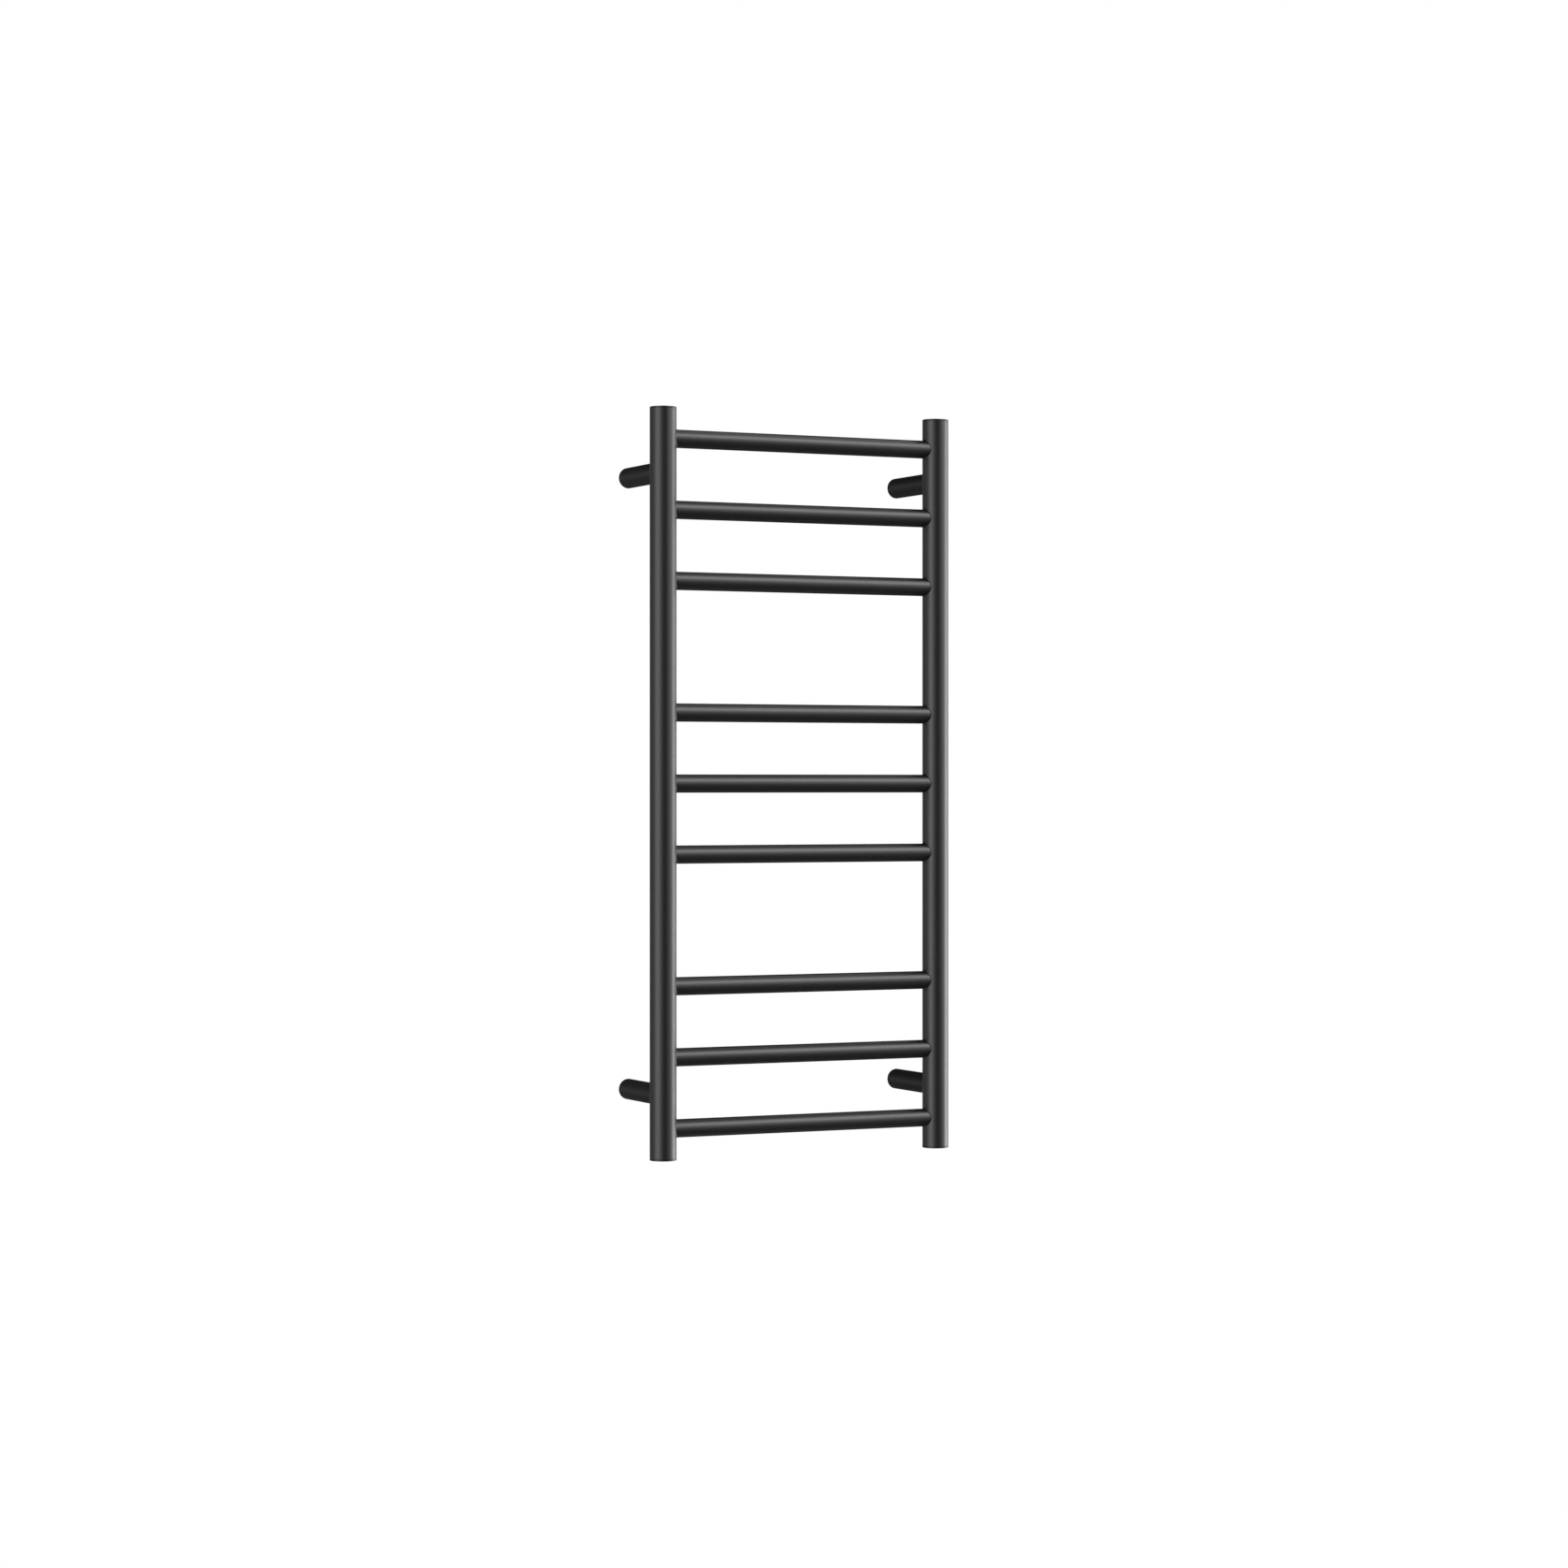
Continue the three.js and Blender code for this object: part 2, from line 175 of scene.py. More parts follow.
def shade_round(mesh, place, axis):
    """Shades the sides of a tube about that line as truly round, whatever holes are cut in them."""
    nearly_square = 0.95
    place, axis = Vector(place), Vector(axis)
    mesh.set_sharp_from_angle(angle=SHARP)
    normals = [Vector(corner.vector) for corner in mesh.corner_normals]
    for face in mesh.polygons:
        for corner in face.loop_indices:
            spoke = mesh.vertices[mesh.loops[corner].vertex_index].co - place
            spoke = (spoke - axis * spoke.dot(axis)).normalized()
            facing = face.normal.dot(spoke)
            if abs(facing) > nearly_square:
                normals[corner] = spoke * math.copysign(1, facing)
    mesh.normals_split_custom_set(normals)


def piece(name, mesh, material, slot, *nodes):
    """Shows a mesh as a piece of the rail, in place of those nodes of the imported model."""
    shown = bpy.data.objects.new(name, mesh)
    bpy.context.scene.collection.objects.link(shown)
    mesh.name = name
    mesh.materials.clear()
    mesh.materials.append(material)
    mesh.shade_smooth()
    if not mesh.has_custom_normals:
        mesh.set_sharp_from_angle(angle=SHARP)
    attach(shown, "root")
    if nodes:
        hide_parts(*nodes)
    return shown


class Socket:
    """An output of a shader node. Sums and products of it add Math nodes."""

    def __init__(self, tree, output):
        self.tree = tree
        self.output = output

    def node(self, kind, settings, inputs, output=0):
        """Adds a node, with its settings and then the values or links of its sockets."""
        added = self.tree.nodes.new(kind)
        for name, value in settings.items():
            setattr(added, name, value)
        for name, value in inputs.items():
            if isinstance(value, Socket):
                self.tree.links.new(value.output, added.inputs[name])
            else:
                added.inputs[name].default_value = value
        return Socket(self.tree, added.outputs[output])

    def math(self, operation, *terms):
        return self.node("ShaderNodeMath", {"operation": operation}, dict(enumerate(terms)))

    def __add__(self, other):
        return self.math("ADD", self, other)

    def __sub__(self, other):
        return self.math("SUBTRACT", self, other)

    def __rsub__(self, other):
        return self.math("SUBTRACT", other, self)

    def __mul__(self, other):
        return self.math("MULTIPLY", self, other)

    __radd__ = __add__
    __rmul__ = __mul__

    def grain(self, size, detail=2.0):
        """Soft random mottling of that grain size, from 0 to 1, over the places that this socket gives."""
        return self.node("ShaderNodeTexNoise", {}, {"Vector": self, "Scale": 1 / size, "Detail": detail})

    def between(self, low, high):
        """A colour that runs from low to high as this socket runs from 0 to 1."""
        inputs = {"Factor": self, "A": (*low, 1), "B": (*high, 1)}
        return self.node("ShaderNodeMix", {"data_type": "RGBA"}, inputs, output="Result")

    def bump(self, height):
        """The surface's normal when this socket raises it by up to that height."""
        return self.node("ShaderNodeBump", {}, {"Height": self, "Distance": height})

    def feed(self, name):
        """Links this socket to the material's own shader."""
        self.tree.links.new(self.output, self.tree.nodes["Principled BSDF"].inputs[name])


def finish(name, **steady):
    """A new material with its steady values set, and the place on the surface that its nodes start from."""
    material = bpy.data.materials.new(name)
    material.use_nodes = True
    tree = material.node_tree
    for socket, value in steady.items():
        tree.nodes["Principled BSDF"].inputs[socket.replace("_", " ")].default_value = value
    return material, Socket(tree, tree.nodes.new("ShaderNodeTexCoord").outputs["Object"])


coat, place = finish("satin_black_powder_coat", IOR=1.5)
place.grain(40 * MM).between((0.0074, 0.0074, 0.0077), (0.0086, 0.0086, 0.0088)).feed("Base Color")
(0.335 + 0.03 * place.grain(9 * MM)).feed("Roughness")
orange_peel = place.grain(2.4 * MM, detail=1.0) + 0.2 * place.grain(0.5 * MM)
orange_peel.bump(0.012 * MM).feed("Normal")


def middle_height(node):
    """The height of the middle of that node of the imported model."""
    low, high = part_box(node)
    return (low.z + high.z) / 2


rung_names = [f"rung_{number}" for number in range(1, RUNGS + 1)]
low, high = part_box("rung_1")
rung_radius = (high.y - low.y) / 2
wired_z = middle_height("right_lower_post")  # the wires come in through this post

for side, inwards in (("left", 1), ("right", -1)):
    low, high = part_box(f"{side}_upright")
    upright_radius = (high.x - low.x) / 2
    centre = (low + high) / 2
    body = tube(upright_radius, UPRIGHT_WALL, low.z - UPRIGHT_REACH, high.z + UPRIGHT_REACH)
    shifted(body, (centre.x, centre.y, 0))
    punch_x = min(centre.x, centre.x + inwards * 2 * upright_radius)
    punches = []
    for rung in rung_names:
        punch = rod(rung_radius + PUNCH_CLEARANCE, 0, 2 * upright_radius)
        punches.append(moved(punch, ALONG_X, (punch_x, centre.y, middle_height(rung))))
    if side == "right":
        punch = rod(WIRE_HOLE, 0, 2 * upright_radius)
        punches.append(moved(punch, ALONG_Y, (centre.x, centre.y, wired_z)))
    body = cut(body, *punches)
    shade_round(body, (centre.x, centre.y, 0), (0, 0, 1))
    piece(f"{side}_upright_tube", body, coat, "powder_coat", f"{side}_upright")

upright_x = centre.x  # of the right one; the left one is the same distance the other way
upright_y = centre.y


# Rungs: nine lengths of 22 mm tube with a 1 mm wall, in three groups of three. Each one is pushed through the
# punched holes and ends just inside the uprights.

RUNG_WALL = 1 * MM

for rung in rung_names:
    low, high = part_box(rung)
    middle = (0, upright_y, middle_height(rung))
    body = moved(tube(rung_radius, RUNG_WALL, low.x, high.x), ALONG_X, middle)
    shade_round(body, middle, (1, 0, 0))
    piece(f"{rung}_tube", body, coat, "powder_coat", rung)


# Welds at both ends of every rung: a fine fillet run round the joint by torch, faintly rippled, and coated
# with the rest of the ladder.

FILLET = 1.5 * MM
RIPPLE = 0.05 * MM
RIPPLES = 34  # round a joint
WANDER = 0.6  # how much the torch wanders, next to a ripple
WANDERS = 5  # round a joint
BEAD_FACETS = 204  # round a joint
BEAD_STEPS = 6  # across the fillet
BEAD_SUNK = 0.04 * MM  # how far its edges dip into the tubes
BEAD_ROOT = 0.4 * MM  # how deep in the tubes it starts


def weld(branch, main, phase):
    """A fillet where a branch tube, which lies along -X, meets a main tube about Z at the origin.

    It is hollow, as if a ball that touches both tubes had been rolled round the joint.
    """
    rows = []
    for step in range(BEAD_FACETS):
        turn = 2 * math.pi * step / BEAD_FACETS
        ripple = math.cos(RIPPLES * turn + phase) + WANDER * math.sin(WANDERS * turn + 2 * phase)
        ball = FILLET + RIPPLE * ripple
        spoke = Vector((0, math.cos(turn), math.sin(turn)))
        centre = spoke * (branch + ball)
        centre.x = -math.sqrt((main + ball) ** 2 - centre.y ** 2)
        to_main = Vector((-centre.x, -centre.y, 0)).normalized()
        width = to_main.angle(-spoke)
        row = []
        for across in range(BEAD_STEPS + 1):
            share = across / BEAD_STEPS
            toward = -spoke * math.sin((1 - share) * width) + to_main * math.sin(share * width)
            toward /= math.sin(width)
            reach = ball + (BEAD_SUNK if across in (0, BEAD_STEPS) else 0)
            row.append(centre + toward * reach)
        root = spoke * (branch - BEAD_ROOT)
        root.x = BEAD_ROOT - math.sqrt(main ** 2 - root.y ** 2)
        rows.append(row + [root])
    return rings(rows, closed=True)


HALF_TURN = Matrix.Rotation(math.pi, 4, "Z")
for number, rung in enumerate(rung_names):
    height = middle_height(rung)
    right = shifted(weld(rung_radius, upright_radius, number), (upright_x, upright_y, height))
    left = moved(weld(rung_radius, upright_radius, number + 0.5), HALF_TURN, (-upright_x, upright_y, height))
    piece(f"{rung}_welds", joined(left, right), coat, "powder_coat")


# End caps: pressed steel plugs that close the four ends of the uprights. They are ground flush, and coated
# with the rest of the ladder.

CAP_FLANGE = 2.1 * MM
CAP_EDGE = 0.6 * MM
CAP_SEAM = 0.2 * MM
CAP_PLUG = 8 * MM
CAP_PLUG_WALL = 1.5 * MM
CAP_FIT = 0.3 * MM
CORNERS = [(side, row) for side in ("left", "right") for row in ("upper", "lower")]


def quarter_round(radius, edge, steps=6):
    """Points over a rounded edge, from an end face to the side: how far out, and how far down."""
    turns = [math.radians(90) * step / steps for step in range(steps + 1)]
    return [(radius - edge * (1 - math.sin(turn)), edge * (1 - math.cos(turn))) for turn in turns]


plug = upright_radius - UPRIGHT_WALL - CAP_FIT
cap_outline = [
    (0, 0), *((radius, -drop) for radius, drop in quarter_round(upright_radius, CAP_EDGE)),
    (upright_radius, CAP_SEAM - CAP_FLANGE), (upright_radius - CAP_SEAM, -CAP_FLANGE), (plug, -CAP_FLANGE),
    (plug, CAP_SEAM - CAP_PLUG), (plug - CAP_SEAM, -CAP_PLUG), (plug - CAP_PLUG_WALL, -CAP_PLUG),
    (plug - CAP_PLUG_WALL, -CAP_FLANGE), (0, -CAP_FLANGE),
]
for side, row in CORNERS:
    low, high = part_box(f"{side}_{row}_end_cap")
    upwards = row == "upper"
    turn = Matrix.Identity(4) if upwards else Matrix.Rotation(math.pi, 4, "X")
    body = moved(turned(cap_outline), turn, ((low.x + high.x) / 2, upright_y, high.z if upwards else low.z))
    piece(f"{side}_{row}_cap", body, coat, "powder_coat", f"{side}_{row}_end_cap")


# Wall posts: 25 mm tube with a 1.5 mm wall, notched to sit on the upright and welded there. The wall end
# slides over a boss, and a hole in its underside takes the grub screw that locks it.

POST_WALL = 1.5 * MM
POST_EDGE = 0.3 * MM
NOTCH_FIT = 0.02 * MM
GRUB_FROM_WALL = 10 * MM
GRUB_HOLE = 2.6 * MM  # radius
SMALL_FACETS = 48  # round a screw or another small part

QUARTER_TURN = Matrix.Rotation(math.radians(-90), 4, "Z")
for number, (side, row) in enumerate(CORNERS):
    low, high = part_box(f"{side}_{row}_post")
    post_radius = (high.x - low.x) / 2
    x, z = (low.x + high.x) / 2, (low.z + high.z) / 2
    body = moved(tube(post_radius, POST_WALL, upright_y, high.y, POST_EDGE), ALONG_Y, (x, 0, z))
    notch = shifted(rod(upright_radius + NOTCH_FIT, -2 * post_radius, 2 * post_radius), (x, upright_y, z))
    hole = shifted(rod(GRUB_HOLE, -2 * post_radius, 0, SMALL_FACETS), (x, -GRUB_FROM_WALL, z))
    body = cut(cut(body, notch), hole)
    shade_round(body, (x, 0, z), (0, 1, 0))
    piece(f"{side}_{row}_post_tube", body, coat, "powder_coat", f"{side}_{row}_post")
    bead = moved(weld(post_radius, upright_radius, number + 0.3), QUARTER_TURN, (x, upright_y, z))
    piece(f"{side}_{row}_post_weld", bead, coat, "powder_coat")


# Wall bosses: turned aluminium plugs, faced at the wall. Three are relieved there, and each is held by one
# countersunk screw. The wired one has a bore for the cable gland and two small screw holes instead.

BOSS_HOLE = 2.5 * MM  # radius
BOSS_HEAD = 4.6 * MM  # radius
BOSS_CHAMFER = 0.6 * MM
BOSS_RELIEF = 0.4 * MM
BOSS_RIM = 1.6 * MM
BOSS_HUB = 4.4 * MM  # radius
GLAND_HOLE = 4.6 * MM  # radius
FLANGE_SEAT = 5.5 * MM  # radius
FLANGE_SEAT_DEPTH = 1.5 * MM
WIRED_SCREW_HOLE = 1.5 * MM  # radius
FINE_EDGE = 0.15 * MM
GRUB_POCKET = 2.7 * MM
TOOL_MARK = 0.25 * MM

aluminium, place = finish("turned_aluminium", Metallic=1.0)
across = place.node("ShaderNodeVectorMath", {"operation": "MULTIPLY"}, {0: place, 1: (1, 0, 1)})
spoke = across.node("ShaderNodeVectorMath", {"operation": "LENGTH"}, {0: across}, output="Value")
tool_marks = spoke.node(
    "ShaderNodeTexNoise", {"noise_dimensions": "1D"}, {"W": spoke, "Scale": 1 / TOOL_MARK},
)
tool_marks.between((0.52, 0.53, 0.55), (0.66, 0.67, 0.69)).feed("Base Color")
(0.26 + 0.16 * tool_marks + 0.08 * place.grain(3 * MM)).feed("Roughness")
tool_marks.bump(0.01 * MM).feed("Normal")

for side, row in CORNERS:
    low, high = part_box(f"{side}_{row}_boss")
    boss_radius = (high.x - low.x) / 2
    x, z = (low.x + high.x) / 2, middle_height(f"{side}_{row}_post")
    length = high.y - low.y
    wired = (side, row) == ("right", "lower")
    hole, head = (GLAND_HOLE, GLAND_HOLE + BOSS_RELIEF) if wired else (BOSS_HOLE, BOSS_HEAD)
    relief = [] if wired else [
        (boss_radius - BOSS_RIM, 0), (boss_radius - BOSS_RIM, -BOSS_RELIEF),
        (BOSS_HUB, -BOSS_RELIEF), (BOSS_HUB, 0),
    ]
    body = moved(turned([
        (hole, head - hole - length), (head, -length), (boss_radius - BOSS_CHAMFER, -length),
        (boss_radius, BOSS_CHAMFER - length), (boss_radius, -FINE_EDGE), (boss_radius - FINE_EDGE, 0),
        *relief, (hole + FINE_EDGE, 0), (hole, -FINE_EDGE),
    ]), ALONG_Y)
    pocket = rod(GRUB_HOLE, -2 * boss_radius, -boss_radius + GRUB_POCKET, SMALL_FACETS)
    tools = [shifted(pocket, (0, -GRUB_FROM_WALL, 0))]
    if wired:
        screw_x = (GLAND_HOLE + boss_radius) / 2
        for end in (-1, 1):
            bore = rod(WIRED_SCREW_HOLE, -2 * length, length, SMALL_FACETS)
            tools.append(moved(bore, ALONG_Y, (end * screw_x, 0, 0)))
        body = cut(body, moved(rod(FLANGE_SEAT, -FLANGE_SEAT_DEPTH, length), ALONG_Y))
    for tool in tools:
        body = cut(body, tool)
    shade_round(body, (0, 0, 0), (0, 1, 0))
    boss = piece(f"{side}_{row}_wall_boss", body, aluminium, "boss_aluminium", f"{side}_{row}_boss")
    boss.location = (x, 0, z)


# Grub screws: small black set screws with a hexagon socket and a cone point. Each goes up through the
# underside of a post and locks it on its boss.

GRUB_RADIUS = 2.3 * MM  # a little small, to stand clear of its hole
GRUB_LENGTH = 4 * MM
GRUB_CONE = 1 * MM
GRUB_MOUTH = 0.3 * MM  # chamfer at the socket
GRUB_SOCKET = 2.5 * MM  # across flats
GRUB_SOCKET_DEPTH = 2 * MM
THREAD_PITCH = 0.8 * MM
THREAD_DEPTH = 0.32 * MM
THREAD_RINGS = 50

steel, place = finish("black_oxide_steel", Metallic=1.0)
place.grain(0.8 * MM).between((0.018, 0.018, 0.020), (0.045, 0.044, 0.043)).feed("Base Color")
(0.32 + 0.16 * place.grain(0.4 * MM)).feed("Roughness")
place.grain(0.15 * MM).bump(0.004 * MM).feed("Normal")


def threaded_row(height):
    """A loop of points round the thread at that height."""
    mouth = GRUB_RADIUS - GRUB_MOUTH + height
    cone = GRUB_RADIUS - GRUB_CONE + GRUB_LENGTH - height
    limit = min(GRUB_RADIUS, mouth, cone)
    row = []
    for x, y, z in circle(1, height, SMALL_FACETS):
        wave = (1 + math.cos(2 * math.pi * height / THREAD_PITCH - math.atan2(y, x))) / 2
        radius = min(limit, GRUB_RADIUS - THREAD_DEPTH * wave)
        row.append((x * radius, y * radius, z))
    return row


for side, row in CORNERS:
    low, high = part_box(f"{side}_{row}_grub_screw")
    heights = [GRUB_LENGTH * step / THREAD_RINGS for step in range(THREAD_RINGS + 1)]
    rows = [threaded_row(height) for height in heights]
    rows = [circle(0, 0, SMALL_FACETS), *rows, circle(0, GRUB_LENGTH, SMALL_FACETS)]
    socket = rod(GRUB_SOCKET / 2 / math.cos(math.radians(30)), -GRUB_LENGTH, GRUB_SOCKET_DEPTH, 6)
    drill = turned([
        (0, -GRUB_LENGTH), (GRUB_SOCKET / 2 + GRUB_MOUTH, -GRUB_LENGTH), (GRUB_SOCKET / 2 + GRUB_MOUTH, 0),
        (GRUB_SOCKET / 2, GRUB_MOUTH), (0, GRUB_SOCKET_DEPTH + GRUB_MOUTH),
    ], SMALL_FACETS)
    body = cut(cut(rings(rows, closed=False), drill), socket)
    screw = piece(f"{side}_{row}_set_screw", body, steel, "screw_steel", f"{side}_{row}_grub_screw")
    screw.location = ((low.x + high.x) / 2, (low.y + high.y) / 2, low.z)


# Cable gland: a moulded silicone grommet in the wired boss, with a flange at the wall and sealing ribs that
# grip the mains cord.

GLAND_BORE = 3.5 * MM  # radius
GLAND_LIP = 0.25 * MM
GLAND_RIB = 0.35 * MM
GLAND_RIBS = 4
GLAND_FIT = 0.3 * MM
GLAND_FACETS = 64
FLANGE_LENGTH = 1.2 * MM
RIB_SHAPE = [(0.25, 0), (0.4, 0.8), (0.5, 1), (0.6, 0.8), (0.75, 0)]  # shares of its pitch and its height

wired_x = upright_x

gland_rubber, place = finish("black_silicone", Specular_IOR_Level=0.4)
place.grain(2 * MM).between((0.014, 0.014, 0.015), (0.024, 0.024, 0.024)).feed("Base Color")
(0.5 + 0.14 * place.grain(1.2 * MM)).feed("Roughness")
place.grain(0.3 * MM).bump(0.01 * MM).feed("Normal")

low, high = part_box("cable_gland")
flange = (high.x - low.x) / 2
barrel = GLAND_HOLE - GLAND_FIT
gland_outline = [
    (GLAND_BORE + GLAND_LIP, low.y), (barrel - GLAND_LIP, low.y), (barrel, low.y + GLAND_LIP),
    (barrel, high.y - FLANGE_LENGTH), (flange - GLAND_LIP, high.y - FLANGE_LENGTH),
    (flange, high.y - FLANGE_LENGTH + GLAND_LIP), (flange, high.y - GLAND_LIP), (flange - GLAND_LIP, high.y),
    (GLAND_BORE + GLAND_LIP, high.y), (GLAND_BORE, high.y - GLAND_LIP),
]
rib_pitch = (high.y - low.y - 4 * GLAND_LIP) / GLAND_RIBS
for rib in range(GLAND_RIBS):
    for share, depth in RIB_SHAPE:
        y = high.y - 2 * GLAND_LIP - (rib + share) * rib_pitch
        gland_outline.append((GLAND_BORE - depth * GLAND_RIB, y))
gland_outline.append((GLAND_BORE, low.y + GLAND_LIP))
body = moved(turned(gland_outline, GLAND_FACETS), ALONG_Y, (wired_x, 0, wired_z))
piece("cord_gland", body, gland_rubber, "gland_silicone", "cable_gland")


# Terminal block: a three-pole block moulded in cream nylon, with grooves between the poles. Every pole has a
# brass clamp screw for either side, sunk in its own well.

WELL = 1.5 * MM  # radius
WIRE_WAY = 1.2 * MM  # radius
BLOCK_GROOVE = 0.9 * MM
BLOCK_GROOVE_DEPTH = 2.6 * MM
BLOCK_EDGE = 0.25 * MM
TERMINAL_SCREWS = 6
CUT_PAST = 1 * MM  # how far a hole's cutter runs on past the face
TINY_FACETS = 32  # round a terminal screw or a hole as small


def block(low, high):
    """A squared bar between two corners."""
    corners = [
        (x, y, z) for z in (low.z, high.z)
        for x, y in ((low.x, low.y), (high.x, low.y), (high.x, high.y), (low.x, high.y))
    ]
    faces = [(3, 2, 1, 0), (4, 5, 6, 7), (0, 1, 5, 4), (1, 2, 6, 5), (2, 3, 7, 6), (3, 0, 4, 7)]
    return mesh_of(corners, faces)


def eased(mesh, edge, steps=3):
    """The mesh with its sharp edges rounded."""
    return changed(mesh, "BEVEL", width=edge, segments=steps, limit_method="ANGLE")


nylon, place = finish("cream_nylon", Specular_IOR_Level=0.5)
place.grain(6 * MM).between((0.66, 0.63, 0.56), (0.72, 0.70, 0.64)).feed("Base Color")
(0.42 + 0.12 * place.grain(1.5 * MM)).feed("Roughness")
place.grain(0.25 * MM).bump(0.006 * MM).feed("Normal")

low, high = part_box("terminal_block")
screw_boxes = [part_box(f"terminal_screw_{number}") for number in range(1, TERMINAL_SCREWS + 1)]
poles = [(pair[0].x + pair[1].x) / 2 for pair in screw_boxes[::2]]
grooves = []
for left_pole, right_pole in zip(poles, poles[1:]):
    middle = (left_pole + right_pole) / 2
    grooves.append(block(
        Vector((middle - BLOCK_GROOVE / 2, low.y - CUT_PAST, high.z - BLOCK_GROOVE_DEPTH)),
        Vector((middle + BLOCK_GROOVE / 2, high.y + CUT_PAST, high.z + CUT_PAST)),
    ))
body = eased(cut(block(low, high), *grooves), BLOCK_EDGE)
ways = [
    moved(rod(WIRE_WAY, low.y - CUT_PAST, high.y + CUT_PAST, TINY_FACETS), ALONG_Y, (x, 0, wired_z))
    for x in poles
]
wells = []
for first, last in screw_boxes:
    well = rod(WELL, wired_z, high.z + CUT_PAST, TINY_FACETS)
    wells.append(shifted(well, ((first.x + last.x) / 2, (first.y + last.y) / 2, 0)))
body = cut(cut(body, *ways), *wells)
piece("terminal_block_body", body, nylon, "block_nylon", "terminal_block")

SCREW_EDGE = 0.2 * MM
SLOT = 0.6 * MM

brass, place = finish("turned_brass", Metallic=1.0)
place.grain(1.5 * MM).between((0.56, 0.40, 0.17), (0.68, 0.50, 0.24)).feed("Base Color")
(0.24 + 0.16 * place.grain(0.5 * MM)).feed("Roughness")
place.grain(0.2 * MM).bump(0.005 * MM).feed("Normal")

for number, (low, high) in enumerate(screw_boxes, start=1):
    radius = (high.x - low.x) / 2
    tall = high.z - low.z
    body = turned([
        (0, 0), (radius - SCREW_EDGE, 0), (radius, SCREW_EDGE), (radius, tall - SCREW_EDGE),
        (radius - SCREW_EDGE, tall), (0, tall),
    ], TINY_FACETS)
    slot = block(Vector((-2 * radius, -SLOT / 2, tall - SLOT / 2)), Vector((2 * radius, SLOT / 2, 2 * tall)))
    body = shifted(cut(body, slot), ((low.x + high.x) / 2, (low.y + high.y) / 2, low.z))
    piece(f"clamp_screw_{number}", body, brass, "terminal_brass", f"terminal_screw_{number}")


# Thermal fuse: a small cut-out in a ceramic case, with a dome of resin at either end. It is crimped into the
# live lead and opens if the rail overheats.

FUSE_DOME = 0.8 * MM

ceramic, place = finish("fuse_ceramic", Specular_IOR_Level=0.5)
place.grain(3 * MM).between((0.70, 0.69, 0.66), (0.78, 0.77, 0.74)).feed("Base Color")
(0.3 + 0.15 * place.grain(0.8 * MM)).feed("Roughness")
place.grain(0.3 * MM).bump(0.005 * MM).feed("Normal")

low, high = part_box("thermal_fuse")
fuse_radius = (high.x - low.x) / 2
dome = quarter_round(fuse_radius, FUSE_DOME)
fuse_outline = [(0, low.y), *((radius, low.y + rise) for radius, rise in dome)]
fuse_outline += [*((radius, high.y - rise) for radius, rise in reversed(dome)), (0, high.y)]
fuse_x = (low.x + high.x) / 2
fuse_front, fuse_back = low.y, high.y
body = moved(turned(fuse_outline, SMALL_FACETS), ALONG_Y, (fuse_x, 0, wired_z))
piece("cut_out", body, ceramic, "fuse_body", "thermal_fuse")


# Earth tab: a stamped brass blade, spot-welded to the inside of the wired post. The earth lead is soldered
# to its underside.

TAB_EDGE = 0.15 * MM
TAB_HOLE = 0.9 * MM  # radius
TAB_HOLE_FROM_END = 2.5 * MM

low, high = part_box("earth_tab")
tab_middle = (low + high) / 2
hole = rod(TAB_HOLE, -high.x, high.x, TINY_FACETS)
hole = shifted(hole, (tab_middle.x, low.y + TAB_HOLE_FROM_END, tab_middle.z))
body = cut(eased(block(low, high), TAB_EDGE), hole)
piece("earth_blade", body, brass, "terminal_brass", "earth_tab")
tab_back, tab_bottom = high.y, low.z


# Leads: stranded copper in silicone insulation, clamped in the terminal block. The brown one goes by way of
# the fuse and the blue one straight on to the splice. The green and yellow one goes to the earth tab.

LEAD_RADIUS = 0.9 * MM
LEAD_UNDER_TAB = 0.3 * MM
STRAIGHT = math.radians(1)  # a bend of less than this is left out
BEND_STEPS = 10
WIRE_FACETS = 24


def route(corners, bend):
    """Points along straight runs between the corners, with each corner turned on an arc."""
    corners = [Vector(corner) for corner in corners]
    points = [corners[0]]
    for before, corner, after in zip(corners, corners[1:], corners[2:]):
        into, out = (corner - before).normalized(), (after - corner).normalized()
        turn = into.angle(out)
        if turn < STRAIGHT:
            continue
        inward = (out - into * into.dot(out)).normalized()
        start = corner - into * bend * math.tan(turn / 2)
        for step in range(BEND_STEPS + 1):
            part = turn * step / BEND_STEPS
            points.append(start + into * bend * math.sin(part) + inward * bend * (1 - math.cos(part)))
    return [*points, corners[-1]]


def wire(corners, radius, bend):
    """A round wire laid along a route, closed at both ends."""
    points = route(corners, bend)
    across = Vector((0, 0, 1))
    rows = []
    for before, point, after in zip([points[0], *points], points, [*points[1:], points[-1]]):
        along = (after - before).normalized()
        across = (across - along * across.dot(along)).normalized()
        upward = along.cross(across)
        rows.append([point + across * x + upward * y for x, y, _ in circle(radius, 0, WIRE_FACETS)])
    return rings([[points[0]] * WIRE_FACETS, *rows, [points[-1]] * WIRE_FACETS], closed=False)


def insulation(name, dark, light):
    """Soft glossy sheathing in one colour."""
    sheath, place = finish(name, Specular_IOR_Level=0.5)
    place.grain(4 * MM).between(dark, light).feed("Base Color")
    (0.36 + 0.14 * place.grain(1 * MM)).feed("Roughness")
    place.grain(0.4 * MM).bump(0.006 * MM).feed("Normal")
    return sheath


